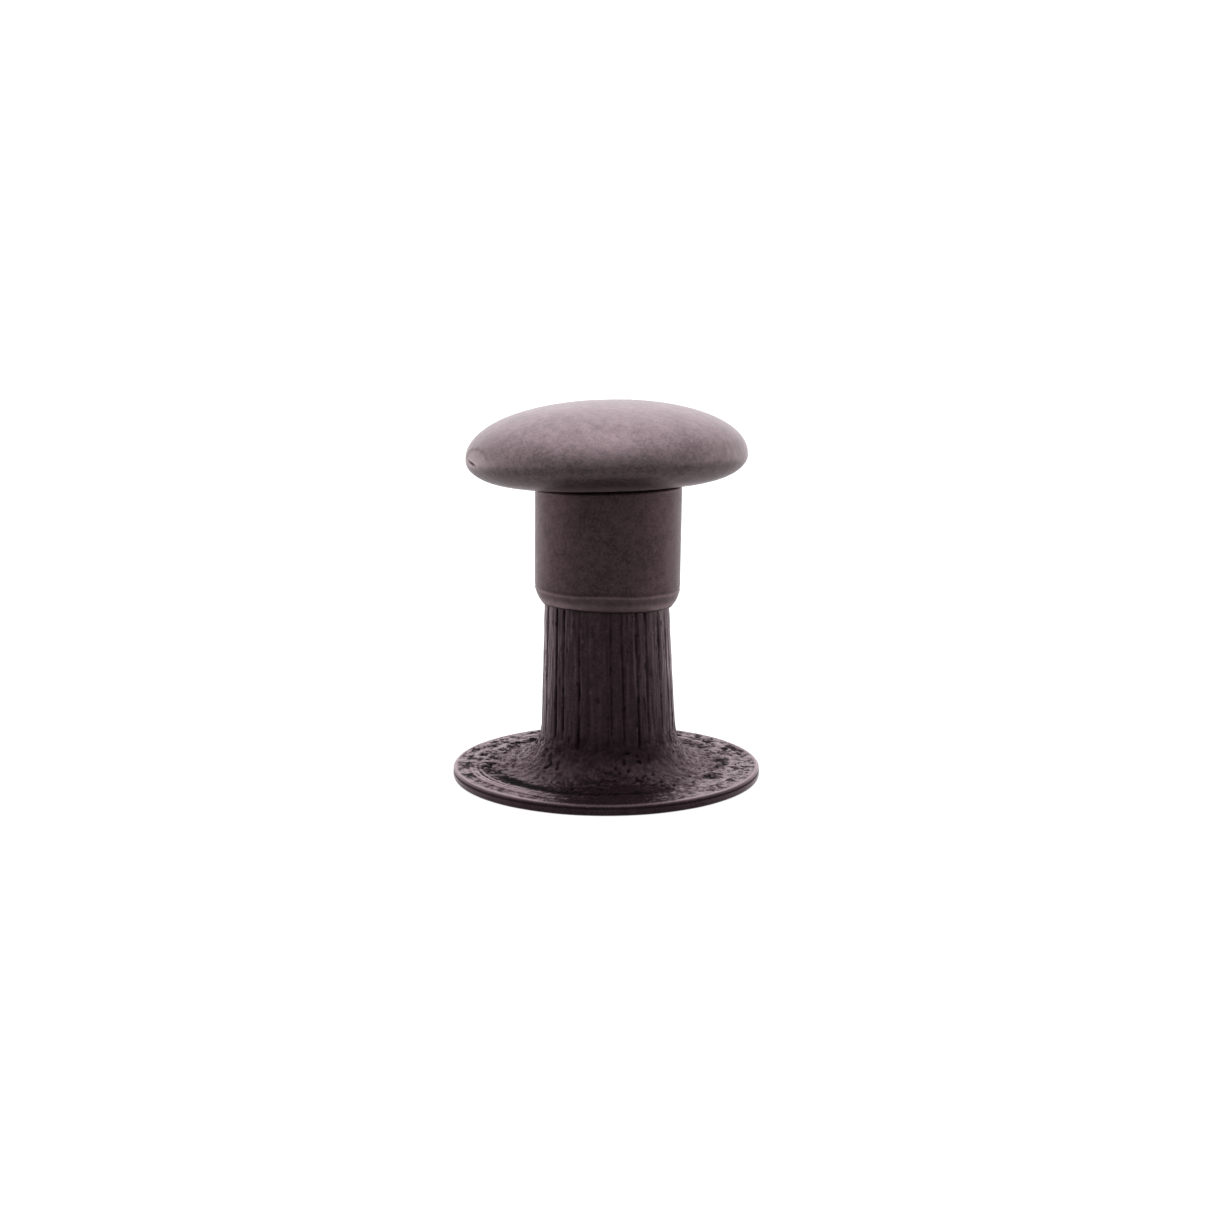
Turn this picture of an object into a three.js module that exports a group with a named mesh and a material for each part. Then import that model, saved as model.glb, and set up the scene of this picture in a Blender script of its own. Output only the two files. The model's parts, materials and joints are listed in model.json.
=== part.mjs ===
// Two-part cap rivet for canvas and leather. A fluted tubular post drawn up from a
// thin flange is pushed into a socket, and a domed cap turns loosely on the
// socket's closed end. Millimetres, +Z up, origin at the centre of the flange's
// underside.
import * as THREE from 'three';

// Post
const POST_SHEET = 0.34;
const FLANGE_RADIUS = 5.0;
const FLANGE_CHAMFER = 0.1;
const FILLET_ROUND = 1.3;
const SHANK_FOOT_RADIUS = 2.18;
const SHANK_TAPER = 0.0435;
const SHANK_TIP_Z = 8.1;
const TIP_DOME_HEIGHT = 0.6;
const FLUTE_COUNT = 30;
const FLUTE_DEPTH = 0.07;
const FLUTE_RUN_OUT = 0.25;
const SHANK_OFFSET_AT_FOOT = 0.075;
const SHANK_LEAN = THREE.MathUtils.degToRad(0.85);

// Socket
const SOCKET_RADIUS = 2.35;
const SOCKET_TAPER_IN = 0.01;
const SOCKET_WALL = 0.25;
const SOCKET_LIP_Z = 5.62;
const SOCKET_SHOULDER_Z = 9.4;
const SHOULDER_ROUND = 0.13;
const LIP_ROUND = 1.02;
const LIP_CHAMFER = 0.04;
const MOUTH_RADIUS = 2.055;
const MOUTH_LENGTH = 0.45;
const STAKE_HOLE_RADIUS = 1.46;
const SOCKET_OFFSET = 0.035;
const SOCKET_LEAN = THREE.MathUtils.degToRad(0.68);

// Cap
const CAP_SHEET = 0.2;
const CAP_RADIUS = 4.48;
const CAP_RIM_Z = 10.335;
const CROWN_HEIGHT = 1.79;
const CROWN_EXPONENT = 2.11;
const CURL_DEPTH = 0.9;
const CURL_RUN = 1.98;
const CAP_TILT = THREE.MathUtils.degToRad(1.5);

// Backing disc, with the neck that holds the cap in the socket
const BACKING_RADIUS = 3.25;
const BACKING_Z = 9.705;
const BACKING_CHAMFER = 0.05;
const NECK_RADIUS = 1.38;
const NECK_OFFSET = -0.034;
const FLARE_RADIUS = 1.75;
const FLARE_TOP_Z = 9.07;
const PIVOT_Z = SOCKET_SHOULDER_Z - SOCKET_WALL / 2;

const QUARTER_TURN = Math.PI / 2;
const ROUND_SEGMENTS = 64;
const SEGMENTS_PER_FLUTE = 3;
const ARC_STEPS = 6;
const SHOULDER_STEPS = 3;
const CROWN_STEPS = 8;
const METALNESS = 0.9;

// Points of an elliptical arc about (cr, cz), from angle start to angle end.
function arc(cr, cz, radiusR, radiusZ, start, end, steps = ARC_STEPS) {
  return Array.from({ length: steps + 1 }, (_, i) => {
    const angle = start + (end - start) * (i / steps);
    return new THREE.Vector2(cr + radiusR * Math.cos(angle), cz + radiusZ * Math.sin(angle));
  });
}

// Turns a profile of (radius, height) points about +Z. The points run so that the
// material lies on their left.
function turned(points, segments) {
  return new THREE.LatheGeometry(points, segments).rotateX(QUARTER_TURN);
}

function point(r, z) {
  return new THREE.Vector2(r, z);
}

// The fillet turns from the flat flange to the slope of the shank, and meets both smoothly.
const FILLET_ANGLE = QUARTER_TURN - Math.atan(SHANK_TAPER);
const SHANK_FOOT_Z = POST_SHEET + FILLET_ROUND * (1 - Math.cos(FILLET_ANGLE));
const FILLET_RIM_RADIUS = SHANK_FOOT_RADIUS + FILLET_ROUND * Math.sin(FILLET_ANGLE);

function shankRadius(z) {
  return SHANK_FOOT_RADIUS - SHANK_TAPER * (z - SHANK_FOOT_Z);
}

// The post is one drawn piece of sheet: a flat flange that rises through a fillet into
// a tapered shank, and a closed domed tip. It is hollow and open underneath.
function postProfile() {
  const domeZ = SHANK_TIP_Z - TIP_DOME_HEIGHT;
  const domeRadius = shankRadius(domeZ);
  const boreDome = arc(0, domeZ, domeRadius - POST_SHEET, TIP_DOME_HEIGHT - POST_SHEET, QUARTER_TURN, 0);
  const filletZ = POST_SHEET + FILLET_ROUND;
  const flat = -QUARTER_TURN;
  const steep = flat - FILLET_ANGLE;
  const filletInside = arc(FILLET_RIM_RADIUS, filletZ, filletZ, filletZ, steep, flat);
  const fillet = arc(FILLET_RIM_RADIUS, filletZ, FILLET_ROUND, FILLET_ROUND, flat, steep);
  const tipDome = arc(0, domeZ, domeRadius, TIP_DOME_HEIGHT, 0, QUARTER_TURN);
  const fluteFootZ = SHANK_FOOT_Z + FLUTE_RUN_OUT;
  const fluteTopZ = domeZ - FLUTE_RUN_OUT;
  return [
    ...boreDome,
    ...filletInside,
    point(FLANGE_RADIUS - FLANGE_CHAMFER, 0),
    point(FLANGE_RADIUS, FLANGE_CHAMFER),
    point(FLANGE_RADIUS, POST_SHEET - FLANGE_CHAMFER),
    point(FLANGE_RADIUS - FLANGE_CHAMFER, POST_SHEET),
    ...fillet,
    point(shankRadius(fluteFootZ), fluteFootZ),
    point(shankRadius(fluteTopZ), fluteTopZ),
    ...tipDome,
  ];
}

// Presses the flutes into the outside of the shank.
function pressFlutes(geometry) {
  const position = geometry.attributes.position;
  const vertex = new THREE.Vector3();
  for (let i = 0; i < position.count; i += 1) {
    vertex.fromBufferAttribute(position, i);
    const radius = Math.hypot(vertex.x, vertex.y);
    const onShank = vertex.z > SHANK_FOOT_Z + FLUTE_RUN_OUT / 2
      && vertex.z < SHANK_TIP_Z - TIP_DOME_HEIGHT - FLUTE_RUN_OUT / 2;
    const outside = radius > shankRadius(vertex.z) - POST_SHEET / 2;
    if (onShank && outside) {
      const angle = Math.atan2(vertex.y, vertex.x) + QUARTER_TURN;
      const pressed = radius - FLUTE_DEPTH * Math.max(0, Math.cos(FLUTE_COUNT * angle));
      vertex.x *= pressed / radius;
      vertex.y *= pressed / radius;
      position.setXYZ(i, vertex.x, vertex.y, vertex.z);
    }
  }
}

// Leans the shank over the centre of the flat flange: its axis stands a little to
// +X at the foot and crosses back towards -X as it rises.
function leanShank(geometry) {
  const position = geometry.attributes.position;
  for (let i = 0; i < position.count; i += 1) {
    const z = position.getZ(i);
    const grown = Math.min(1, z / SHANK_FOOT_Z);
    const overFoot = Math.max(0, z - SHANK_FOOT_Z);
    const shift = SHANK_OFFSET_AT_FOOT * grown - Math.tan(SHANK_LEAN) * overFoot;
    const radius = Math.hypot(position.getX(i), position.getY(i));
    if (radius < FILLET_RIM_RADIUS) {
      position.setX(i, position.getX(i) + shift);
    }
  }
}

function makePost() {
  const geometry = turned(postProfile(), FLUTE_COUNT * SEGMENTS_PER_FLUTE);
  pressFlutes(geometry);
  leanShank(geometry);
  geometry.computeVertexNormals();
  return geometry;
}

// The socket is a drawn cup, mouth down. Its lip is rolled in to guide the post, and
// its closed end is pierced for the cap's neck.
function makeSocket() {
  const lipRadius = SOCKET_RADIUS - SOCKET_TAPER_IN;
  const bore = lipRadius - SOCKET_WALL;
  const lipEnd = -Math.acos(1 - (lipRadius - MOUTH_RADIUS - LIP_CHAMFER) / LIP_ROUND);
  const lip = arc(
    lipRadius - LIP_ROUND, SOCKET_LIP_Z + LIP_ROUND * Math.abs(Math.sin(lipEnd)),
    LIP_ROUND, LIP_ROUND, lipEnd, 0,
  );
  const shoulder = arc(
    SOCKET_RADIUS - SHOULDER_ROUND, SOCKET_SHOULDER_Z - SHOULDER_ROUND,
    SHOULDER_ROUND, SHOULDER_ROUND, 0, QUARTER_TURN, SHOULDER_STEPS,
  );
  const endInsideZ = SOCKET_SHOULDER_Z - SOCKET_WALL;
  const profile = [
    point(MOUTH_RADIUS, SOCKET_LIP_Z + LIP_CHAMFER),
    ...lip,
    ...shoulder,
    point(STAKE_HOLE_RADIUS, SOCKET_SHOULDER_Z),
    point(STAKE_HOLE_RADIUS, endInsideZ),
    point(bore, endInsideZ),
    point(bore, SOCKET_LIP_Z + MOUTH_LENGTH + LIP_CHAMFER),
    point(MOUTH_RADIUS, SOCKET_LIP_Z + MOUTH_LENGTH),
    point(MOUTH_RADIUS, SOCKET_LIP_Z + LIP_CHAMFER),
  ];
  return turned(profile, ROUND_SEGMENTS);
}

// Points of the crown, from its upright edge at the rim to the apex. It is rounder than
// an ellipse: its exponent is a little above 2.
function crown(radius, height) {
  const power = 2 / CROWN_EXPONENT;
  const slopes = Array.from({ length: CROWN_STEPS }, (_, i) => {
    const angle = QUARTER_TURN * (i / CROWN_STEPS);
    return point(radius * Math.cos(angle) ** power, CAP_RIM_Z + height * Math.sin(angle) ** power);
  });
  return [...slopes, point(0, CAP_RIM_Z + height)];
}

// The cap shell is a spun dome whose rim rolls under in one smooth curl.
function makeCapShell() {
  const curlRadius = CAP_RADIUS - CURL_RUN;
  const insideCrown = crown(CAP_RADIUS - CAP_SHEET, CROWN_HEIGHT - CAP_SHEET).reverse();
  const insideCurl = arc(
    curlRadius, CAP_RIM_Z, CURL_RUN - CAP_SHEET, CURL_DEPTH - CAP_SHEET, 0, -QUARTER_TURN,
  );
  const outsideCurl = arc(curlRadius, CAP_RIM_Z, CURL_RUN, CURL_DEPTH, -QUARTER_TURN, 0);
  const outsideCrown = crown(CAP_RADIUS, CROWN_HEIGHT);
  const profile = [
    ...insideCrown,
    ...insideCurl.slice(1),
    ...outsideCurl,
    ...outsideCrown.slice(1),
  ];
  return turned(profile, ROUND_SEGMENTS);
}

// The backing disc fills the cap behind the curl. Its drawn neck passes through the
// socket's closed end and is flared inside, so the cap can turn and rock a little.
function makeBackingDisc() {
  const neckBore = NECK_RADIUS - CAP_SHEET;
  const profile = [
    point(neckBore, FLARE_TOP_Z - CAP_SHEET),
    point(FLARE_RADIUS, FLARE_TOP_Z - CAP_SHEET),
    point(FLARE_RADIUS, FLARE_TOP_Z),
    point(NECK_RADIUS, FLARE_TOP_Z),
    point(NECK_RADIUS, BACKING_Z - BACKING_CHAMFER),
    point(NECK_RADIUS + BACKING_CHAMFER, BACKING_Z),
    point(BACKING_RADIUS, BACKING_Z),
    point(BACKING_RADIUS, BACKING_Z + CAP_SHEET),
    point(neckBore, BACKING_Z + CAP_SHEET),
    point(neckBore, FLARE_TOP_Z - CAP_SHEET),
  ];
  return turned(profile, ROUND_SEGMENTS);
}

function oxidisedBrass(color, roughness) {
  return new THREE.MeshStandardMaterial({ color, roughness, metalness: METALNESS });
}

function namedMesh(name, geometry, material) {
  const mesh = new THREE.Mesh(geometry, material);
  mesh.name = name;
  return mesh;
}

// A group that turns its meshes about +Y through a pivot on the rivet's centre plane.
function leaningGroup(meshes, pivotX, pivotZ, lean) {
  const group = new THREE.Group();
  group.position.set(pivotX, 0, pivotZ);
  group.rotation.y = lean;
  for (const mesh of meshes) {
    mesh.position.z = -pivotZ;
    group.add(mesh);
  }
  return group;
}

const post = namedMesh('post', makePost(), oxidisedBrass(0x332b2e, 0.45));
const socket = namedMesh('socket', makeSocket(), oxidisedBrass(0x433a3d, 0.55));
const capShell = namedMesh('cap_shell', makeCapShell(), oxidisedBrass(0x5b5052, 0.6));
const backingDisc = namedMesh('backing_disc', makeBackingDisc(), oxidisedBrass(0x3c3436, 0.55));

// The cap turns about its own neck, which sits a little off the middle of its hole.
const holeX = SOCKET_OFFSET + (PIVOT_Z - SOCKET_LIP_Z) * Math.tan(SOCKET_LEAN);
const pivotX = holeX + NECK_OFFSET;

const rivet = new THREE.Group();
rivet.add(post);
rivet.add(leaningGroup([socket], SOCKET_OFFSET, SOCKET_LIP_Z, SOCKET_LEAN));
rivet.add(leaningGroup([capShell, backingDisc], pivotX, PIVOT_Z, -CAP_TILT));

export default rivet;
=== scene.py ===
"""Looks of a small two-part cap rivet in dark oxidised metal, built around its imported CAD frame.

Every piece is turned from a profile of (radius, height) points, then given a relief: flutes,
wrinkles, dents and grain pushed into the surface along its normals. Lengths are in
millimetres. Those that Blender reads are in metres and are marked by MM or by a comment.
"""

import json
import math

import bmesh
import bpy
import numpy as np
from mathutils import Matrix, Vector


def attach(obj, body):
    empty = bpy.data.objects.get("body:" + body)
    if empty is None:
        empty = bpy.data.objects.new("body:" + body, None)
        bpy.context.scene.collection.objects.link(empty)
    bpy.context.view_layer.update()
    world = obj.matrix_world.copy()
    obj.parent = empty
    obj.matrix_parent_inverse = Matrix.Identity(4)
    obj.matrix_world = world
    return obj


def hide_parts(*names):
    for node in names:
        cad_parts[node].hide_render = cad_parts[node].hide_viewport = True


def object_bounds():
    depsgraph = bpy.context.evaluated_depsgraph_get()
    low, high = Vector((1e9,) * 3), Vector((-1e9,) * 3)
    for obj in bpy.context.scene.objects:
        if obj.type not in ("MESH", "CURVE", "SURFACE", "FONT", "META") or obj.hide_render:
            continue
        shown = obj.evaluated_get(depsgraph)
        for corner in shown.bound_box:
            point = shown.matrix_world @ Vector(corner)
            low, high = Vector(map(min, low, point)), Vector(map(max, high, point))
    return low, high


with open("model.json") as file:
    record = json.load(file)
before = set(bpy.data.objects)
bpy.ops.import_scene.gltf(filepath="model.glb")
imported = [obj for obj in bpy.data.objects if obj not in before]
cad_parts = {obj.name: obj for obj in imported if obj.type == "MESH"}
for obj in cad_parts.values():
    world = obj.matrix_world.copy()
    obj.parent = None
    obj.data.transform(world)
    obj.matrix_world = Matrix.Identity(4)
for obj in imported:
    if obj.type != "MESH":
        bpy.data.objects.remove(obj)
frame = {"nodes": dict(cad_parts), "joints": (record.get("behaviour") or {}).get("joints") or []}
cad_low, cad_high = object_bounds()

MM = 0.001
TURN = 2 * math.pi
QUARTER = math.pi / 2
FRONT = -QUARTER

# Points whose heights are this close belong to one ring.
SAME_HEIGHT = 0.001

# ---------------------------------------------------------------- places from the frame

joints = {joint["name"]: joint for joint in frame["joints"]}


def axis_frame(position, axis):
    """The matrix that stands local +Z on a joint's axis, with no twist about it."""
    up = Vector(axis).normalized()
    side = Vector((0, 1, 0)).cross(up).normalized()
    front = up.cross(side)
    turn = Matrix((side, front, up)).transposed().to_4x4()
    return Matrix.Translation(position) @ turn


def node_points(node, place):
    """A CAD node's vertices in a piece's own frame, in millimetres."""
    inverse = place.inverted()
    vertices = frame["nodes"][node].data.vertices
    return np.array([inverse @ v.co for v in vertices]) / MM


def nearest_ring(points, height):
    """The ring of points nearest to a height: its middle's x, its own height, its radius."""
    ring_height = points[np.argmin(abs(points[:, 2] - height)), 2]
    ring = points[abs(points[:, 2] - ring_height) < SAME_HEIGHT]
    middle = (ring[:, 0].min() + ring[:, 0].max()) / 2
    return middle, ring_height, ring[:, 1].max()


def centred(place, node):
    """Moves a place sideways onto the middle of a node."""
    across = node_points(node, place)[:, 0]
    middle = (across.min() + across.max()) / 2
    return place @ Matrix.Translation((middle * MM, 0, 0))


pivot = Vector(joints["cap_spin"]["pos_m"])
upright = Matrix.Identity(4)
socket_place = centred(axis_frame(pivot, joints["socket_slide"]["axis"]), "socket")
cap_place = axis_frame(pivot, joints["cap_spin"]["axis"])

post_points = node_points("post", upright)
socket_points = node_points("socket", socket_place)
shell_points = node_points("cap_shell", cap_place)
backing_points = node_points("backing_disc", cap_place)

POST_SHEET = 0.34
SOCKET_WALL = 0.25
CAP_SHEET = 0.2

# Steps between the points of a profile.
FINE = 0.025
MEDIUM = 0.05
COARSE = 0.15
SAME_POINT = 1e-5

# ---------------------------------------------------------------- noise and profiles

HASH_PRIMES = (73856093, 19349663, 83492791)
HASH_SEED_PRIME = 2654435761
HASH_STIR_PRIME = 1274126177
HASH_BITS = 0xFFFF


def lattice(cells, seed):
    """One repeatable number from -1 to 1 for each lattice cell."""
    mixed = seed * HASH_SEED_PRIME
    for axis, prime in enumerate(HASH_PRIMES):
        mixed = mixed ^ (cells[..., axis].astype(np.int64) * prime)
    mixed = (mixed ^ (mixed >> 13)) * HASH_STIR_PRIME
    mixed = mixed ^ (mixed >> 16)
    return (mixed & HASH_BITS) / (HASH_BITS / 2) - 1


def lumps(points, size, seed):
    """Smooth noise from -1 to 1 over points in millimetres, with lumps of about that size."""
    scaled = points / size
    cells = np.floor(scaled)
    part = scaled - cells
    part = part * part * part * (part * (part * 6 - 15) + 10)
    total = 0
    for corner in np.ndindex(2, 2, 2):
        weight = np.prod(np.where(corner, part, 1 - part), axis=-1)
        total = total + weight * lattice(cells + corner, seed)
    return total


def layered(points, size, seed, layers=3, fade=0.5):
    """Noise whose finer layers are each half the size and fade times the height."""
    return sum(lumps(points, size / 2**i, seed + i) * fade**i for i in range(layers))


def smooth(low, high, value):
    """0 at low, 1 at high and an S-curve between them."""
    t = np.clip((value - low) / (high - low), 0, 1)
    return t * t * (3 - 2 * t)


def bell(value, width):
    """1 at zero, falling away on both sides over about that width."""
    return np.exp(-((value / width) ** 2))


FEWEST_ARC_POINTS = 6


def arc(centre, radii, start, end, step):
    """Points of an elliptical arc, angles in radians."""
    count = max(FEWEST_ARC_POINTS, int(abs(end - start) * max(radii) / step))
    angle = np.linspace(start, end, count)
    return np.stack([centre[0] + radii[0] * np.cos(angle), centre[1] + radii[1] * np.sin(angle)], 1)


def line(start, end, step):
    """Points of a straight stretch."""
    return np.linspace(start, end, max(2, int(math.dist(start, end) / step) + 1))


def joined(*stretches):
    """One profile from stretches that meet, without the doubled points."""
    points = np.concatenate(stretches)
    keep = np.append(True, np.linalg.norm(np.diff(points, axis=0), axis=1) > SAME_POINT)
    return points[keep]


def size_across(points):
    """Distance from the local axis, in millimetres."""
    return np.hypot(points[..., 0], points[..., 1])


def around(angle, radius, height):
    """Points on a ring of that radius, so that noise joins up where the turn closes."""
    return np.stack(np.broadcast_arrays(radius * np.cos(angle), radius * np.sin(angle), height), -1)


def apart(angle, other):
    """Signed difference of two angles, from minus half a turn to half a turn."""
    return (angle - other + math.pi) % TURN - math.pi


# ---------------------------------------------------------------- turning a mesh


def turned(name, profile, segments, place, relief, material, body, node, bend=None):
    """Turns a profile about local +Z, presses the relief into it and stands it on its body.

    relief(points, normals, angle) returns the height to raise each point by, and named
    values between 0 and 1 that the material reads. bend(points) moves the points last.
    """
    closed = np.allclose(profile[0], profile[-1])
    rows = profile[:-1] if closed else profile
    if closed:
        tangent = np.roll(rows, -1, 0) - np.roll(rows, 1, 0)
    else:
        tangent = np.gradient(rows, axis=0)
    tangent /= np.linalg.norm(tangent, axis=1)[:, None]
    angle = np.arange(segments) * TURN / segments
    outward = np.stack([np.cos(angle), np.sin(angle), np.zeros(segments)], 1)
    up = np.array([0, 0, 1.0])
    points = rows[:, None, :1] * outward + rows[:, None, 1:] * up
    normals = tangent[:, None, 1:] * outward - tangent[:, None, :1] * up
    angles = np.broadcast_to(angle, points.shape[:2])
    height, values = relief(points, normals, angles)
    points = points + normals * height[..., None]
    on_axis = rows[:, 0] < SAME_POINT
    points[on_axis] = points[on_axis].mean(axis=1, keepdims=True)
    if bend:
        points = bend(points)

    count = len(rows)
    last = count if closed else count - 1
    row = np.arange(last)[:, None]
    column = np.arange(segments)[None, :]
    next_row = (row + 1) % count
    next_column = (column + 1) % segments
    corners = [
        row * segments + column,
        row * segments + next_column,
        next_row * segments + next_column,
        next_row * segments + column,
    ]
    faces = np.stack(np.broadcast_arrays(*corners), -1).reshape(-1, 4)

    mesh = bpy.data.meshes.new(name)
    mesh.from_pydata((points.reshape(-1, 3) * MM).tolist(), [], faces.tolist())
    for key, value in values.items():
        attribute = mesh.attributes.new(key, "FLOAT", "POINT")
        spread = np.broadcast_to(value, angles.shape).astype(np.float32)
        attribute.data.foreach_set("value", spread.ravel())
    mesh.transform(place)
    piece = bpy.data.objects.new(name, mesh)
    bpy.context.collection.objects.link(piece)
    weld_poles(mesh)
    mesh.polygons.foreach_set("use_smooth", [True] * len(mesh.polygons))
    mesh.materials.append(material)
    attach(piece, body)
    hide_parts(node)
    return piece


def weld_poles(mesh):
    """Closes the ends where a profile meets the axis."""
    work = bmesh.new()
    work.from_mesh(mesh)
    bmesh.ops.remove_doubles(work, verts=work.verts, dist=SAME_POINT * MM)
    work.to_mesh(mesh)
    work.free()


# ---------------------------------------------------------------- the post

# The fillet ends and the shank begins at about this height.
ABOUT_FOOT_Z = 1.6
POST_SEGMENTS = 720
SHANK_TAPER = 0.0435
TIP_DOME = 0.6
FILLET_ROUND = 1.3
RIM_ROUND = 0.09

FLUTES = 30
FLUTE_DEPTH = 0.05
FLUTE_WIDTH = 0.045
# A search picked the next two seeds. Of 250,000 and 120,000 tried, their draws come
# closest to the places and strengths read off the photo for the twelve front flutes,
# so those flutes are fitted. No other seed in this script was searched for.
FLUTE_SPREAD_SEED = 247389
FLUTE_STRENGTH_SEED = 50635
FLUTE_END_SEED = 30

# How far the reliefs of the post stand up or go down.
STREAK_RELIEF = 0.01
CRUMPLE_RELIEF = 0.034
PIT_DEPTH = 0.045
WAVE_RELIEF = 0.02
GRAIN_RELIEF = 0.008
HAIR_LINE_RELIEF = 0.006
TOOL_RING_DEPTH = 0.03
SCRATCH_DEPTH = 0.016
RIDGE_HEIGHT = 0.035

# A shallow line round the flange's edge, and the corner above it, which is painted lighter as
# rubbed metal and as a painted highlight.
RIM_LINE_Z = 0.23
RIM_LINE_WIDTH = 0.035
RIM_LINE_DEPTH = 0.012
RIM_REACH = 0.1
RIM_HIGHLIGHT_INSET = 0.07
RIM_HIGHLIGHT_WIDTH = 0.04
RIM_HIGHLIGHT_HEIGHT = 0.03

# Fades by radius: nothing at the first, everything at the second.
FILLET_FADE = (4.0, 3.4)
PITS_FADE = (4.5, 4.0)
FLAT_INNER_FADE = (3.45, 3.65)
FLAT_OUTER_FADE = (4.92, 4.8)
WAVES_INNER_FADE = (3.3, 4.2)
WAVES_OUTER_FADE = (5.0, 4.8)
BURNISH_FADE = (3.6, 4.0)
SHIFT_FADE = (4.6, 4.0)

# Rings on the flat of the flange: radius, width and strength.
SWELLS = ((4.05, 0.12, 0.016),)
STEADY_SWELLS = ((4.4, 0.09, 0.012),)
SCRATCHES = ((4.24, 0.03, 1.0), (4.55, 0.035, 0.8), (4.72, 0.03, 0.6))
HIGHLIGHT_RIDGES = ((4.33, 0.05, 1.0), (4.47, 0.03, 1.0), (4.17, 0.03, 1.0))
RUBBED_RINGS = ((4.02, 0.06, 0.5),)
TOOL_RING = ((3.8, 0.15, 1.0),)
DARK_BAND = ((3.8, 0.35, 0.6),)
DARK_LINE = ((4.25, 0.025, 0.7),)
# The side, towards the front left, where the ridges carry a painted highlight.
LIT_SIDE_ANGLE = FRONT - math.radians(48)
LIT_SIDE_SPREAD = 0.45


def post_profile(foot_radius, foot_z, flange_radius, tip_z):
    """Flange, fillet, tapered shank and domed tip, then back down the bore."""
    steep = -math.pi + math.atan(SHANK_TAPER)
    centre = (foot_radius - FILLET_ROUND * math.cos(steep), POST_SHEET + FILLET_ROUND)
    dome_z = tip_z - TIP_DOME
    dome_radius = foot_radius - SHANK_TAPER * (dome_z - foot_z)
    inside_round = FILLET_ROUND + POST_SHEET
    inside_dome = (dome_radius - POST_SHEET, TIP_DOME - POST_SHEET)
    fillet_inside = arc(centre, (inside_round, inside_round), steep, -QUARTER, MEDIUM)
    fillet = arc(centre, (FILLET_ROUND, FILLET_ROUND), -QUARTER, steep, FINE)
    bore_dome = arc((0, dome_z), inside_dome, QUARTER, 0, COARSE)
    tip_dome = arc((0, dome_z), (dome_radius, TIP_DOME), 0, QUARTER, MEDIUM)
    rim = flange_radius - RIM_ROUND
    lower_rim = arc((rim, RIM_ROUND), (RIM_ROUND, RIM_ROUND), -QUARTER, 0, FINE / 2)
    upper_rim = arc((rim, POST_SHEET - RIM_ROUND), (RIM_ROUND, RIM_ROUND), 0, QUARTER, FINE / 2)
    profile = joined(
        bore_dome,
        line(bore_dome[-1], fillet_inside[0], COARSE),
        fillet_inside,
        line(fillet_inside[-1], lower_rim[0], MEDIUM),
        lower_rim,
        line(lower_rim[-1], upper_rim[0], FINE),
        upper_rim,
        line(upper_rim[-1], fillet[0], FINE),
        fillet,
        line(fillet[-1], tip_dome[0], MEDIUM),
        tip_dome,
    )
    profile[0, 0] = 0
    profile[-1, 0] = 0
    return profile


def flute_lines(radius, height, angle, foot_z):
    """How deep each point lies in a flute, from 0 on the lands to 1 in the bottoms.

    The flutes are unevenly spaced and unevenly strong, wander a little and end unevenly.
    """
    spread = np.random.default_rng(FLUTE_SPREAD_SEED).uniform(-0.5, 0.5, FLUTES)
    strength = np.random.default_rng(FLUTE_STRENGTH_SEED).uniform(0.3, 1.0, FLUTES)
    run_out = np.random.default_rng(FLUTE_END_SEED).uniform(-0.35, 0.15, FLUTES)
    depth = np.zeros(angle.shape)
    along = height[:, :1]
    for k in range(FLUTES):
        centre = (k + spread[k]) * TURN / FLUTES
        trail = np.stack([along * 0 + k, along * 0, along], -1)
        wobble = 0.012 * lumps(trail, size=0.8, seed=3) + 0.006 * lumps(trail, size=0.15, seed=4)
        away = apart(angle, centre) * radius + wobble
        end_z = foot_z + run_out[k]
        reach = smooth(end_z - 0.15, end_z + 0.2, height)
        uneven = 0.75 + 0.25 * layered(trail, size=0.5, seed=7, layers=2, fade=0.8)
        depth = np.maximum(depth, strength[k] * uneven * reach * bell(away, FLUTE_WIDTH))
    return depth


def rings(radius, marks):
    """The sum of the rings in a list, each a bell across the radius."""
    return sum(strength * bell(radius - middle, width) for middle, width, strength in marks)


def flange_marks(radius, angle):
    """Turning marks on the flat of the flange: relief, darker marks, and lighter rubbed metal and
    painted highlights.
    """
    wander = radius + 0.05 * lumps(around(angle, 1.2, 0), size=0.8, seed=51)
    swell = 0.5 + 0.5 * lumps(around(angle, 1.5, 0), size=0.9, seed=52)
    broken = smooth(-0.6, 0.5, lumps(around(angle, 2, 0), size=0.7, seed=53))
    hair_lines = lumps(around(angle, 0.8, wander * 6), size=0.55, seed=54)
    tool_ring = rings(wander, TOOL_RING) * broken
    scratch = swell * rings(wander, SCRATCHES)

    # On one side, towards the front left, raised ridges outside carry a painted highlight, and the
    # flat inside them is painted darker.
    lit_side = bell(apart(angle, LIT_SIDE_ANGLE), LIT_SIDE_SPREAD)
    ridge = lit_side * rings(wander, HIGHLIGHT_RIDGES)
    darker_inside = lit_side * (rings(radius, DARK_BAND) + rings(wander, DARK_LINE))

    relief = swell * rings(wander, SWELLS) + rings(wander, STEADY_SWELLS)
    relief = relief - TOOL_RING_DEPTH * tool_ring - SCRATCH_DEPTH * scratch
    relief = relief + HAIR_LINE_RELIEF * hair_lines + RIDGE_HEIGHT * ridge
    stain = (0.5 * tool_ring + 0.7 * scratch + darker_inside) * (1 - 0.9 * np.clip(ridge, 0, 1))
    rubbed_and_highlight = swell * rings(wander, RUBBED_RINGS) + 2.5 * ridge
    return relief, stain, rubbed_and_highlight


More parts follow.
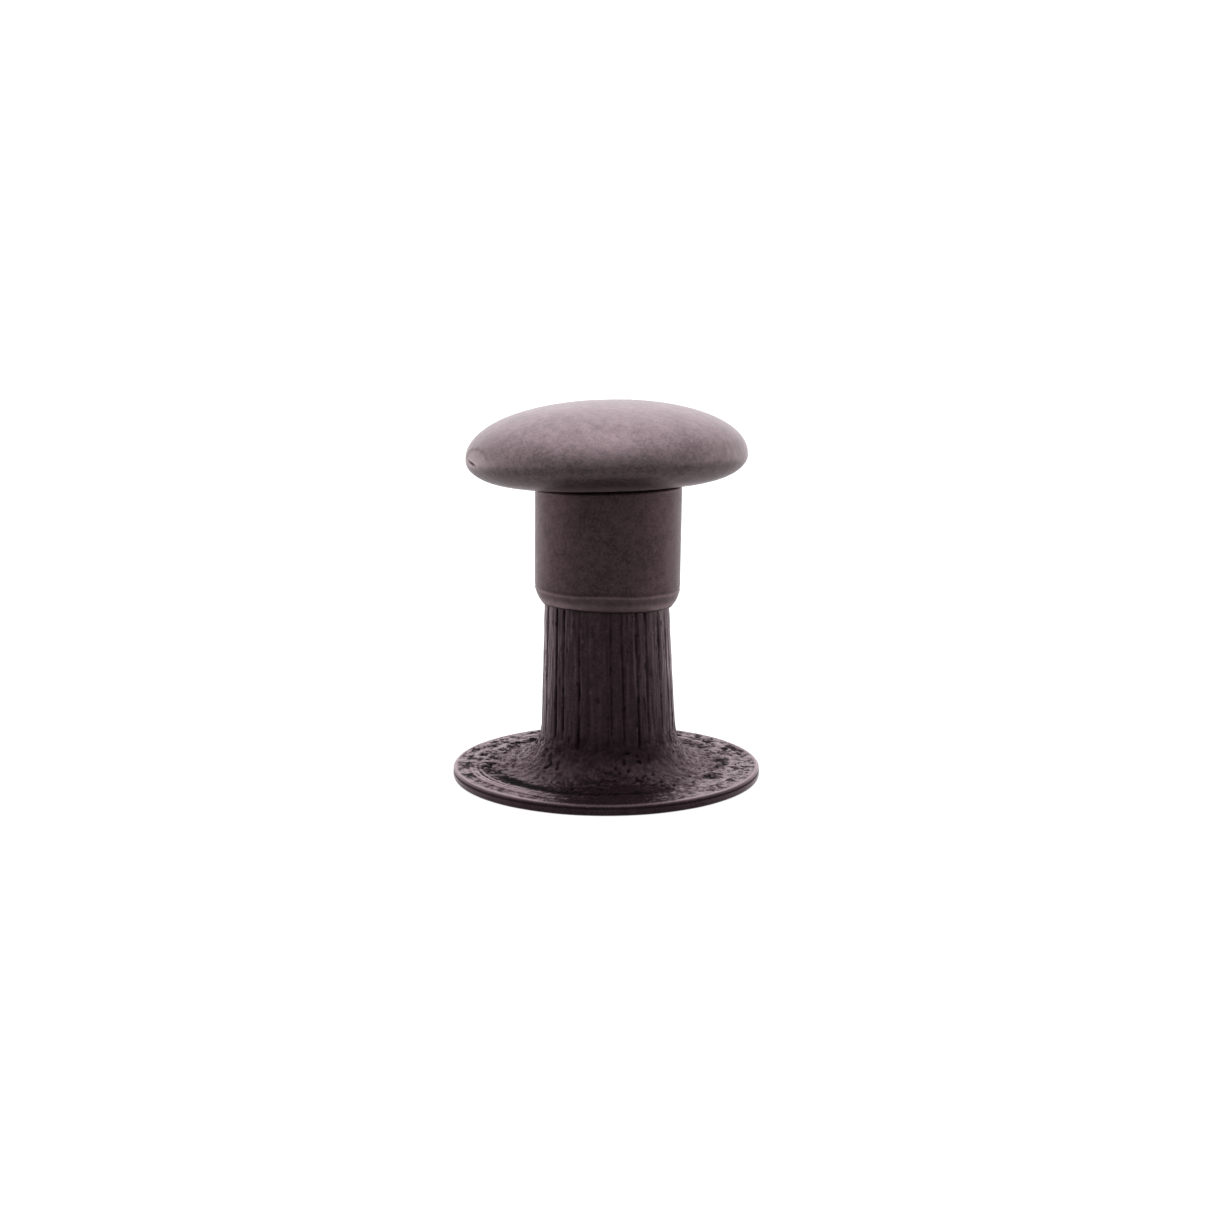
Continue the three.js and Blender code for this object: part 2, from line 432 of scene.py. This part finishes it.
def post_relief(foot_z, tip_z, flange_radius):
    """The relief and the wear of the whole post, as turned() asks for them."""

    def relief(points, normals, angle):
        radius = size_across(points)
        height = points[..., 2]
        outward = normals[..., 0] * np.cos(angle) + normals[..., 1] * np.sin(angle)
        outside = (normals[..., 2] > 0.02) | (outward > 0.3)
        front = smooth(0.3, 0.95, -np.sin(angle))

        shank = outside & (height > foot_z - 0.5) & (height < tip_z - TIP_DOME + 0.1)
        on_shank = np.where(shank, smooth(foot_z - 0.5, foot_z + 0.1, height), 0)
        groove = np.where(shank, flute_lines(radius, height, angle, foot_z), 0)
        drawn = around(angle, radius, height * 0.1)
        streaks = layered(drawn, size=0.13, seed=61, layers=2, fade=0.8)
        dashes = around(angle, radius, height * 0.35)
        pitted = smooth(0.55, 0.85, lumps(dashes, size=0.09, seed=64))

        # The drawn metal of the fillet is crumpled and pitted, most of all on the -X side.
        top = outside & (height < foot_z + 0.5)
        fillet = smooth(*FILLET_FADE, radius) * smooth(foot_z + 0.25, foot_z - 0.35, height)
        crumple = layered(points, size=0.26, seed=21, layers=4, fade=0.7)
        patches = smooth(-0.2, 0.4, lumps(points, size=0.9, seed=35) - 0.12 * points[..., 0])
        pits = smooth(0.15, 0.6, lumps(points, size=0.13, seed=33)) * patches
        pits = pits * smooth(*PITS_FADE, radius) * smooth(foot_z, foot_z - 0.6, height)
        rough_fillet = fillet * (1 - 0.6 * front) * CRUMPLE_RELIEF * crumple

        flat = smooth(*FLAT_INNER_FADE, radius) * smooth(*FLAT_OUTER_FADE, radius)
        marks, stain, rubbed_and_highlight = flange_marks(radius, angle)
        grain = layered(points, size=0.14, seed=58, layers=2, fade=0.7)
        waves = WAVE_RELIEF * lumps(points, size=1.1, seed=5)
        waves = waves * smooth(*WAVES_INNER_FADE, radius) * smooth(*WAVES_OUTER_FADE, radius)
        blots = layered(points, size=0.32, seed=57, layers=5, fade=0.85) - 0.3 * (radius - 4)
        blots = smooth(-0.65, 1.2, blots)
        blots = blots * (1 - 0.9 * np.clip(rubbed_and_highlight, 0, 1)) * (1 - 0.45 * front)

        rim = outside & (radius > flange_radius - RIM_REACH)
        rim_line = np.where(rim, bell(height - RIM_LINE_Z, RIM_LINE_WIDTH), 0)
        rim_wear_and_highlight = bell(radius - flange_radius + RIM_HIGHLIGHT_INSET, RIM_HIGHLIGHT_WIDTH)
        rim_wear_and_highlight = rim_wear_and_highlight * bell(height - POST_SHEET, RIM_HIGHLIGHT_HEIGHT)

        pressed = rough_fillet + flat * (marks + GRAIN_RELIEF * grain) - PIT_DEPTH * pits + waves
        raised = -FLUTE_DEPTH * groove + STREAK_RELIEF * on_shank * streaks
        raised = raised + np.where(top, pressed, 0) - RIM_LINE_DEPTH * rim_line

        mottle = layered(points, size=0.12, seed=27, layers=3, fade=0.7)
        # The fillet is sooty and mottled, and it is painted darker towards the front as painted
        # shade.
        fillet_soot_and_shade = fillet * (0.15 + 0.22 * front + 0.15 * mottle)
        soot_and_shade = np.where(top, fillet_soot_and_shade + flat * (stain + 0.95 * blots) + 0.6 * pits, 0)
        # Painted shade: a dark stripe on the front only, where the shank meets the fillet.
        junction_shade = np.where(outside, 0.35 * front * bell(height - foot_z + 0.45, 0.4), 0)
        # Painted shade: the shank gets darker towards its foot. It is also darker along its streaks
        # and pits.
        foot_shade = 0.15 * smooth(3.6, 1.6, height)
        shank_soot_and_shade = on_shank * (foot_shade + 0.2 * smooth(0, 1, streaks) + 0.5 * pitted)
        dark = groove + soot_and_shade + junction_shade + shank_soot_and_shade + 0.8 * rim_line

        # Painted light: sparse glint specks, and a highlight along the rim's top corner, which is
        # also rubbed. Below, the flange's rubbed rings and the painted highlight on its ridges are
        # added.
        glint_speck = smooth(0.88, 0.97, lumps(points, size=0.07, seed=91))
        lightened = np.where(outside, 0.7 * rim_wear_and_highlight + 0.5 * glint_speck, 0)
        lightened = lightened + on_shank * 0.09 * smooth(-0.2, -1, streaks)
        lightened = lightened + np.where(top, 0.5 * flat * rubbed_and_highlight, 0)
        values = {
            "groove": np.clip(dark, 0, 1),
            "wear": np.clip(lightened, 0, 1),
            "burnish": np.where(top, 0.6 + 0.4 * smooth(*BURNISH_FADE, radius), 0.3),
        }
        return raised, values

    return relief


def lean_shank(foot, tip):
    """The shank stands a little off the flange's middle and leans back over it."""
    foot_x, foot_z, _ = foot
    tip_x, dome_z, _ = tip
    slope = (foot_x - tip_x) / (dome_z - foot_z)

    def bend(points):
        height = points[..., 2]
        shift = foot_x * np.clip(height / foot_z, 0, 1)
        shift = shift - slope * np.clip(height - foot_z, 0, None)
        moved = points.copy()
        moved[..., 0] += shift * smooth(*SHIFT_FADE, size_across(points))
        return moved

    return bend


def make_post(material):
    tip_z = post_points[:, 2].max()
    flange_radius = post_points[:, 1].max()
    foot = nearest_ring(post_points, ABOUT_FOOT_Z)
    tip = nearest_ring(post_points, tip_z - TIP_DOME)
    _, foot_z, foot_radius = foot
    profile = post_profile(foot_radius, foot_z, flange_radius, tip_z)
    relief = post_relief(foot_z, tip_z, flange_radius)
    bend = lean_shank(foot, tip)
    turned(
        "fluted_post",
        profile,
        POST_SEGMENTS,
        upright,
        relief,
        material,
        "post",
        "post",
        bend,
    )


# ---------------------------------------------------------------- the socket

SOCKET_SEGMENTS = 512
LIP_ROUND = 1.02
LIP_CHAMFER = 0.04
MOUTH_LENGTH = 0.45
SHOULDER_ROUND = 0.13
STAKE_HOLE = 1.46
SHOULDER_SKEW = 0.031
LIP_SKEW = -0.016

# A raised crease runs round above the rolled-in lip, with a groove just over it.
CREASE_ABOVE_LIP = 0.46
CREASE_WANDER = 0.03
CREASE_RELIEF = 0.012
CREASE_WIDTH = 0.04
CREASE_GROOVE = 0.008
RIPPLE_RELIEF = 0.005
ORANGE_PEEL_RELIEF = 0.004
RAGGED_RELIEF = 0.018


def make_socket(material):
    low = socket_points[:, 2].min()
    high = socket_points[:, 2].max()
    radius = size_across(socket_points)
    outer = radius.max()
    wall = radius[(socket_points[:, 2] > low + 0.6) & (socket_points[:, 2] < high - 1)]
    lip_outer = wall.max()
    mouth = radius[socket_points[:, 2] < low + 0.2].min()
    bore = lip_outer - SOCKET_WALL
    lip_turn = -math.acos(1 - (lip_outer - mouth - LIP_CHAMFER) / LIP_ROUND)
    lip_centre = (lip_outer - LIP_ROUND, low - LIP_ROUND * math.sin(lip_turn))
    lip = arc(lip_centre, (LIP_ROUND, LIP_ROUND), lip_turn, 0, FINE)
    corner = (outer - SHOULDER_ROUND, high - SHOULDER_ROUND)
    shoulder = arc(corner, (SHOULDER_ROUND, SHOULDER_ROUND), 0, QUARTER, FINE)
    inside = high - SOCKET_WALL
    profile = joined(
        line((mouth, low + LIP_CHAMFER), lip[0], FINE),
        lip,
        line(lip[-1], shoulder[0], FINE),
        shoulder,
        line(shoulder[-1], (STAKE_HOLE, high), MEDIUM),
        line((STAKE_HOLE, high), (STAKE_HOLE, inside), MEDIUM),
        line((STAKE_HOLE, inside), (bore, inside), COARSE),
        line((bore, inside), (bore, low + MOUTH_LENGTH + LIP_CHAMFER), COARSE),
        line((bore, low + MOUTH_LENGTH + LIP_CHAMFER), (mouth, low + MOUTH_LENGTH), MEDIUM),
        line((mouth, low + MOUTH_LENGTH), (mouth, low + LIP_CHAMFER), COARSE),
    )

    def relief(points, normals, angle):
        height = points[..., 2]
        outside = size_across(points) > bore + 0.05
        ring = around(angle, 2, 0)
        ripple = RIPPLE_RELIEF * layered(points, size=0.9, seed=41, layers=3, fade=0.55)
        orange_peel = ORANGE_PEEL_RELIEF * lumps(points, size=0.12, seed=47)
        orange_peel = orange_peel * smooth(low + 0.6, low + 0.3, height)
        ragged = RAGGED_RELIEF * layered(ring, size=0.35, seed=44, layers=3, fade=0.6)
        ragged = ragged * smooth(low + 0.12, low, height)
        fold = low + CREASE_ABOVE_LIP + CREASE_WANDER * lumps(ring, size=1.1, seed=46)
        crease = CREASE_RELIEF * bell(height - fold, CREASE_WIDTH)
        crease = crease - CREASE_GROOVE * bell(height - fold - 0.09, 0.05)
        raised = np.where(outside, ripple + orange_peel + ragged + crease, 0)

        # Painted light: a highlight along the crease, a painted reflection on the lip below it that
        # is strongest at the bottom edge, highlights on the shoulder's corner at the sides, and
        # glint specks.
        below_crease = smooth(fold + 0.1, fold - 0.05, height)
        lip_reflection = below_crease * (0.25 + 0.1 * layered(points, size=0.2, seed=48))
        lip_reflection = lip_reflection + 0.7 * smooth(low + 0.35, low + 0.1, height)
        at_sides = smooth(0.45, 0.8, abs(np.cos(angle)))
        corner_highlight = 0.5 * bell(height - high + 0.06, 0.05) * at_sides
        glint_speck = smooth(0.88, 0.97, lumps(points, size=0.08, seed=92))
        lightened = 0.2 * bell(height - fold, 0.05) + lip_reflection + corner_highlight + 0.3 * glint_speck
        wear = np.where(outside, lightened, 0)
        return raised, {"groove": 0 * angle, "wear": np.clip(wear, 0, 1)}

    def bend(points):
        """The cup isn't quite square: its shoulder and its lip slope opposite ways."""
        height = points[..., 2]
        top = smooth(high - 1.2, high - 0.2, height)
        bottom = smooth(low + 1, low + 0.2, height)
        moved = points.copy()
        moved[..., 2] += points[..., 0] * (SHOULDER_SKEW * top + LIP_SKEW * bottom)
        return moved

    turned(
        "socket_cup",
        profile,
        SOCKET_SEGMENTS,
        socket_place,
        relief,
        material,
        "socket",
        "socket",
        bend,
    )


# ---------------------------------------------------------------- the cap

CAP_SEGMENTS = 640
CROWN_EXPONENT = 2.11
CROWN_POINTS = 150
CROWN_INSIDE_POINTS = 40
CURL_RUN = 1.98
LUMPY_RELIEF = 0.01
DINGED_RELIEF = 0.002

# A shallow dent on the rim with a short slanting nick in it.
DENT_ANGLE = FRONT - math.radians(66)
DENT_RISE = 0.1
DENT_WIDTH = 0.85
DENT_HEIGHT = 0.26
DENT_DEPTH = 0.055
NICK_ANGLE = FRONT - math.radians(70)
NICK_DROP = 0.02
NICK_SLANT = 0.19
NICK_LENGTH = 0.28
NICK_WIDTH = 0.035
NICK_DEPTH = 0.04
LIPS_APART = 0.09
LIPS_RELIEF = 0.008


def crown(radius, height, rim_z, count):
    """The crown stands upright at the rim and rounds over to the apex."""
    power = 2 / CROWN_EXPONENT
    angle = np.linspace(0, QUARTER, count)
    across = np.clip(np.cos(angle), 0, 1) ** power
    rise = np.clip(np.sin(angle), 0, 1) ** power
    return np.stack([radius * across, rim_z + height * rise], 1)


def make_cap_shell(material):
    radius = size_across(shell_points)
    outer = radius.max()
    rim_z = shell_points[np.argmax(radius), 2]
    apex_z = shell_points[:, 2].max()
    low_z = shell_points[:, 2].min()
    depth = rim_z - low_z
    end = outer - CURL_RUN
    height = apex_z - rim_z
    edge = CAP_SHEET / 2
    inside_curl = (CURL_RUN - CAP_SHEET, depth - CAP_SHEET)
    profile = joined(
        crown(outer - CAP_SHEET, height - CAP_SHEET, rim_z, CROWN_INSIDE_POINTS)[::-1],
        arc((end, rim_z), inside_curl, 0, -QUARTER, COARSE),
        arc((end, low_z + edge), (edge, edge), QUARTER, 3 * QUARTER, FINE),
        arc((end, rim_z), (CURL_RUN, depth), -QUARTER, 0, FINE),
        crown(outer, height, rim_z, CROWN_POINTS),
    )
    profile[0, 0] = 0
    profile[-1, 0] = 0

    def relief(points, normals, angle):
        across = size_across(points)
        above_rim = points[..., 2] - rim_z
        off_pole = smooth(0, 0.5, across)
        lumpy = LUMPY_RELIEF * layered(points, size=1.9, seed=61, layers=2, fade=0.5)
        dinged = DINGED_RELIEF * layered(points, size=0.16, seed=66, layers=2, fade=0.6)

        along_dent = apart(angle, DENT_ANGLE) * outer
        above_dent = above_rim - DENT_RISE
        dent = bell(along_dent, DENT_WIDTH) * bell(above_dent, DENT_HEIGHT)
        # The ring round the dent is painted darker as shade.
        reach = np.hypot(along_dent / 0.95, above_dent / 0.34)
        dent_edge_shade = bell(reach - 1, 0.16) * smooth(-0.05, 0.12, above_dent)

        along = apart(angle, NICK_ANGLE) * outer
        off_nick = above_rim + NICK_DROP + NICK_SLANT * along
        nick = bell(along, NICK_LENGTH) * bell(off_nick, NICK_WIDTH)
        lips = bell(off_nick - LIPS_APART, 0.05) + bell(off_nick + LIPS_APART, 0.05)
        lips = bell(along, 0.32) * lips
        raised = (lumpy + dinged) * off_pole
        raised = raised - DENT_DEPTH * dent - NICK_DEPTH * nick + LIPS_RELIEF * lips

        # Painted light: a soft highlight on the front of the crown, the dent painted a little
        # lighter, and a painted reflection on the bottom of the curl.
        front_highlight = bell(apart(angle, FRONT) * outer, 0.9) * bell(above_rim - 0.75, 0.3)
        curl_bottom_reflection = smooth(0.3, 0.05, points[..., 2] - low_z)
        curl_bottom_reflection = curl_bottom_reflection * smooth(end - 0.15, end + 0.05, across)
        wear = 0.06 * front_highlight + 0.25 * lips + 0.12 * dent + 0.6 * curl_bottom_reflection
        dark = nick + 0.18 * dent_edge_shade
        return raised, {"groove": np.clip(dark, 0, 1), "wear": np.clip(wear, 0, 1)}

    turned(
        "domed_cap",
        profile,
        CAP_SEGMENTS,
        cap_place,
        relief,
        material,
        "cap",
        "cap_shell",
    )


BACKING_SEGMENTS = 256
NECK_ROUND = 0.12


def make_backing(material):
    """The disc inside the curl, its neck and the flare that holds it in the socket."""
    radius = size_across(backing_points)
    height = backing_points[:, 2]
    disc_radius = radius.max()
    bore = radius.min()
    neck = bore + CAP_SHEET
    top = height.max()
    disc_low = top - CAP_SHEET
    flare_low = height.min()
    flare_high = flare_low + CAP_SHEET
    flare = radius[height < flare_high + 0.01].max()
    edge = CAP_SHEET / 2
    bend_centre = (neck + NECK_ROUND, disc_low - NECK_ROUND)
    profile = joined(
        line((bore, flare_low), (flare - edge, flare_low), MEDIUM),
        arc((flare - edge, flare_low + edge), (edge, edge), -QUARTER, QUARTER, FINE),
        line((flare - edge, flare_high), (neck, flare_high), MEDIUM),
        line((neck, flare_high), (neck, disc_low - NECK_ROUND), MEDIUM),
        arc(bend_centre, (NECK_ROUND, NECK_ROUND), math.pi, QUARTER, FINE),
        line((neck + NECK_ROUND, disc_low), (disc_radius, disc_low), MEDIUM),
        line((disc_radius, disc_low), (disc_radius, top), MEDIUM),
        line((disc_radius, top), (bore, top), COARSE),
        line((bore, top), (bore, flare_low), COARSE),
    )

    def relief(points, normals, angle):
        ripple = 0.004 * layered(points, size=0.5, seed=71)
        return ripple, {"groove": 0 * angle, "wear": 0 * angle}

    turned(
        "backing_with_neck",
        profile,
        BACKING_SEGMENTS,
        cap_place,
        relief,
        material,
        "cap",
        "backing_disc",
    )


# ---------------------------------------------------------------- materials


class Shader:
    """A small wrapper that adds nodes to a node tree and links them."""

    MIX_FACTOR = 0
    MIX_FIRST_COLOUR = 6
    MIX_SECOND_COLOUR = 7
    MIX_COLOUR_OUT = 2

    def __init__(self, tree):
        self.tree = tree
        tree.nodes.clear()

    def add(self, kind, **inputs):
        node = self.tree.nodes.new(kind)
        for key, value in inputs.items():
            self.plug(node, key, value)
        return node

    def plug(self, node, key, value):
        socket = node.inputs[key.replace("_", " ")] if isinstance(key, str) else node.inputs[key]
        if isinstance(value, bpy.types.NodeSocket):
            self.tree.links.new(value, socket)
        else:
            socket.default_value = value

    def math(self, operation, first, second=0.5):
        node = self.tree.nodes.new("ShaderNodeMath")
        node.operation = operation
        self.plug(node, 0, first)
        self.plug(node, 1, second)
        return node.outputs[0]

    def weighted(self, *terms):
        """The sum of some values, each times its weight."""
        total = 0.0
        for value, weight in terms:
            total = self.math("ADD", total, self.math("MULTIPLY", value, weight))
        return total

    def mix(self, factor, first, second):
        node = self.tree.nodes.new("ShaderNodeMix")
        node.data_type = "RGBA"
        self.plug(node, self.MIX_FACTOR, factor)
        self.plug(node, self.MIX_FIRST_COLOUR, first)
        self.plug(node, self.MIX_SECOND_COLOUR, second)
        return node.outputs[self.MIX_COLOUR_OUT]

    def range(self, value, from_low, from_high, to_low, to_high):
        """An S-curve from one range to another."""
        node = self.tree.nodes.new("ShaderNodeMapRange")
        node.interpolation_type = "SMOOTHSTEP"
        for key, number in enumerate((value, from_low, from_high, to_low, to_high)):
            self.plug(node, key, number)
        return node.outputs[0]

    def noise(self, vector, scale, detail, roughness):
        node = self.add("ShaderNodeTexNoise", Vector=vector, Scale=scale)
        self.plug(node, "Detail", detail)
        self.plug(node, "Roughness", roughness)
        return node.outputs[0]

    def attribute(self, name):
        node = self.tree.nodes.new("ShaderNodeAttribute")
        node.attribute_name = name
        return node.outputs["Fac"]


# What the metal's reflections are tinted by at a slant: clean, and where it is sooty or in painted
# shade.
EDGE_TINT = (1.0, 0.95, 0.97, 1)
POST_EDGE_TINT = (1.0, 0.87, 0.91, 1)
SOOT_AND_SHADE_TINT = (0.22, 0.16, 0.17, 1)


def shade(tone, factor, lift=0.0):
    """A colour made darker or lighter."""
    return (*(factor * channel + lift for channel in tone), 1)


def oxidised_metal(name, tone, metallic, rough, grain_height, contrast=0.35, edge_tint=EDGE_TINT):
    """Dark oxide over drawn metal.

    The colour is mottled and the grain fine. The "groove" attribute blackens and dulls, as oxide
    and as painted shade; the wear attribute lightens, as rubbed oxide and as painted highlights,
    reflections and glints; and "burnish" smooths the surface.
    """
    material = bpy.data.materials.new(name)
    material.use_nodes = True
    shader = Shader(material.node_tree)
    place = shader.add("ShaderNodeTexCoord").outputs["Object"]
    to_mm = (1 / MM, 1 / MM, 1 / MM)
    scaled = shader.add("ShaderNodeMapping", Vector=place, Scale=to_mm).outputs[0]
    groove = shader.attribute("groove")
    wear = shader.attribute("wear")
    burnish = shader.attribute("burnish")

    cloud = shader.noise(scaled, scale=0.8, detail=3.0, roughness=0.55)
    mottle = shader.noise(scaled, scale=4.0, detail=4.0, roughness=0.65)
    grain = shader.noise(scaled, scale=13.0, detail=4.0, roughness=0.75)
    blend = shader.weighted((cloud, 0.2), (mottle, 0.3), (grain, 0.5))
    blend = shader.range(blend, 0.38, 0.62, 0.0, 1.0)
    colour = shader.mix(blend, shade(tone, 1 - contrast), shade(tone, 1 + contrast))
    # Lighter where rubbed, and where highlights, reflections and glints are painted.
    colour = shader.mix(wear, colour, shade(tone, 3, lift=0.06))
    # Darker with oxide, and where shade is painted.
    colour = shader.mix(shader.math("MULTIPLY", groove, 0.9), colour, shade(tone, 0.15))

    grain_roughness = shader.range(grain, 0.3, 0.7, rough - 0.06, rough + 0.08)
    roughness = shader.weighted((grain_roughness, 1.0), (burnish, -0.12), (groove, 0.35))
    sheen_level = shader.math("SUBTRACT", 0.5, shader.math("MULTIPLY", groove, 0.4))
    height = shader.weighted((mottle, 0.6), (grain, 1.0))
    bump = shader.add("ShaderNodeBump", Height=height, Distance=grain_height * MM, Strength=1.0)
    surface = shader.add(
        "ShaderNodeBsdfPrincipled",
        Base_Color=colour,
        Metallic=metallic,
        Roughness=roughness,
        Specular_IOR_Level=sheen_level,
        Specular_Tint=shader.mix(groove, edge_tint, SOOT_AND_SHADE_TINT),
        Normal=bump.outputs[0],
    )
    shader.add("ShaderNodeOutputMaterial", Surface=surface.outputs[0])
    return material


WHITE = (1, 1, 1, 1)
FLOOR_GREY = (0.35, 0.35, 0.35, 1)
FLOOR_GLOW = 0.75


def floor_material():
    """A pale floor that glows a little, so only a faint contact shadow shows on it.

    From below it is clear, so that the underside can be looked at.
    """
    material = bpy.data.materials.new("pale_floor")
    material.use_nodes = True
    shader = Shader(material.node_tree)
    lit = shader.add("ShaderNodeBsdfDiffuse", Color=FLOOR_GREY)
    glow = shader.add("ShaderNodeEmission", Color=WHITE, Strength=FLOOR_GLOW)
    both = shader.add("ShaderNodeAddShader")
    shader.plug(both, 0, lit.outputs[0])
    shader.plug(both, 1, glow.outputs[0])
    clear = shader.add("ShaderNodeBsdfTransparent")
    from_below = shader.add("ShaderNodeNewGeometry").outputs["Backfacing"]
    surface = shader.add("ShaderNodeMixShader", Fac=from_below)
    shader.plug(surface, 1, both.outputs[0])
    shader.plug(surface, 2, clear.outputs[0])
    shader.add("ShaderNodeOutputMaterial", Surface=surface.outputs[0])
    return material


# ---------------------------------------------------------------- stage, light and camera

# In metres.
FLOOR_HALF = 1.0
FLOOR_GAP = 0.002 * MM
OVERHEAD_PLACE = (0, -0.05, 0.12)
OVERHEAD_TARGET = (0, 0, 0.01)
OVERHEAD_SIZE = 0.08

OVERHEAD_WATTS = 0.0003

# How bright the tent is in front and behind, at the height of the eye and overhead. The
# last two are the shares that are left overhead towards the sides, and low down.
TENT_FRONT = 0.36
TENT_BACK = 1.6
TENT_TOP_FRONT = 1.25
TENT_TOP_BACK = 2.5
TENT_SIDES = 0.6
TENT_FOOT = 0.33
TENT_TOP_COLOUR = (0.98, 0.97, 1.01, 1)


def make_floor():
    """The floor is left out of reflections, so that the metal mirrors only the tent."""
    mesh = bpy.data.meshes.new("floor")
    half = FLOOR_HALF
    corners = [(-half, -half, 0), (half, -half, 0), (half, half, 0), (-half, half, 0)]
    mesh.from_pydata(corners, [], [(0, 1, 2, 3)])
    floor = bpy.data.objects.new("floor", mesh)
    floor.location.z = cad_low.z - FLOOR_GAP
    floor.visible_glossy = False
    bpy.context.collection.objects.link(floor)
    mesh.materials.append(floor_material())


def light_world():
    """A white tent: dim on the camera's side and low down, bright behind and overhead.

    It is plain white where the camera looks straight at it.
    """
    world = bpy.data.worlds.new("tent")
    bpy.context.scene.world = world
    world.use_nodes = True
    shader = Shader(world.node_tree)
    direction = shader.add("ShaderNodeTexCoord").outputs["Generated"]
    sideways, backwards, upwards = shader.add("ShaderNodeSeparateXYZ", Vector=direction).outputs

    level = shader.range(backwards, -1.0, 0.6, TENT_FRONT, TENT_BACK)
    low = shader.math("MULTIPLY", level, shader.range(upwards, -0.5, 0.0, TENT_FOOT, 1.0))
    top = shader.range(backwards, -0.9, 0.2, TENT_TOP_FRONT, TENT_TOP_BACK)
    aside = shader.range(shader.math("ABSOLUTE", sideways), 0.2, 0.9, 1.0, TENT_SIDES)
    top = shader.math("MULTIPLY", top, aside)
    lift = shader.range(upwards, 0.0, 0.85, 0.0, 1.0)
    high = shader.math("MULTIPLY", lift, shader.math("SUBTRACT", top, low))
    strength = shader.math("ADD", low, high)

    camera_ray = shader.add("ShaderNodeLightPath").outputs["Is Camera Ray"]
    strength = shader.math("MAXIMUM", strength, camera_ray)
    colour = shader.mix(lift, WHITE, TENT_TOP_COLOUR)
    colour = shader.mix(camera_ray, colour, WHITE)
    tent = shader.add("ShaderNodeBackground", Color=colour, Strength=strength)
    shader.add("ShaderNodeOutputWorld", Surface=tent.outputs[0])


def light_overhead():
    """A round softbox above and in front, which adds a little to the light of the tent."""
    light = bpy.data.lights.new("overhead", "AREA")
    light.shape = "DISK"
    light.size = OVERHEAD_SIZE
    light.energy = OVERHEAD_WATTS
    lamp = bpy.data.objects.new("overhead", light)
    lamp.location = OVERHEAD_PLACE
    lamp.rotation_mode = "QUATERNION"
    aim = Vector(OVERHEAD_TARGET) - Vector(OVERHEAD_PLACE)
    lamp.rotation_quaternion = aim.to_track_quat("-Z", "Y")
    bpy.context.collection.objects.link(lamp)


CAMERA_ASIDE = 0.026 * MM
CAMERA_DISTANCE = 48.12 * MM
CAMERA_HEIGHT = 13.37 * MM
CAMERA_PITCH = math.radians(9.31)
CAMERA_LENS = 44.73
CAMERA_SENSOR = 36
CAMERA_NEAREST = 1 * MM


def make_camera():
    """The camera stands close, a little above the cap, and looks down at the flange."""
    data = bpy.data.cameras.new("camera")
    data.lens = CAMERA_LENS
    data.sensor_width = CAMERA_SENSOR
    data.clip_start = CAMERA_NEAREST
    data.clip_end = 10 * FLOOR_HALF
    camera = bpy.data.objects.new("camera", data)
    camera.location = (CAMERA_ASIDE, -CAMERA_DISTANCE, CAMERA_HEIGHT)
    camera.rotation_euler = (QUARTER - CAMERA_PITCH, 0, 0)
    bpy.context.collection.objects.link(camera)
    bpy.context.scene.camera = camera


# ---------------------------------------------------------------- build

post_metal = oxidised_metal(
    "post_metal",
    tone=(0.036, 0.021, 0.025),
    metallic=0.7,
    rough=0.34,
    grain_height=0.006,
    edge_tint=POST_EDGE_TINT,
)
socket_metal = oxidised_metal(
    "socket_metal",
    tone=(0.077, 0.049, 0.054),
    metallic=0.93,
    rough=0.42,
    grain_height=0.007,
)
cap_metal = oxidised_metal(
    "cap_metal",
    tone=(0.15, 0.113, 0.119),
    metallic=0.9,
    rough=0.36,
    grain_height=0.007,
    contrast=0.3,
)
backing_metal = oxidised_metal(
    "backing_metal",
    tone=(0.08, 0.052, 0.055),
    metallic=0.85,
    rough=0.5,
    grain_height=0.005,
)

make_post(post_metal)
make_socket(socket_metal)
make_cap_shell(cap_metal)
make_backing(backing_metal)

make_floor()
light_world()
light_overhead()
make_camera()
bpy.context.scene.view_settings.view_transform = "Standard"
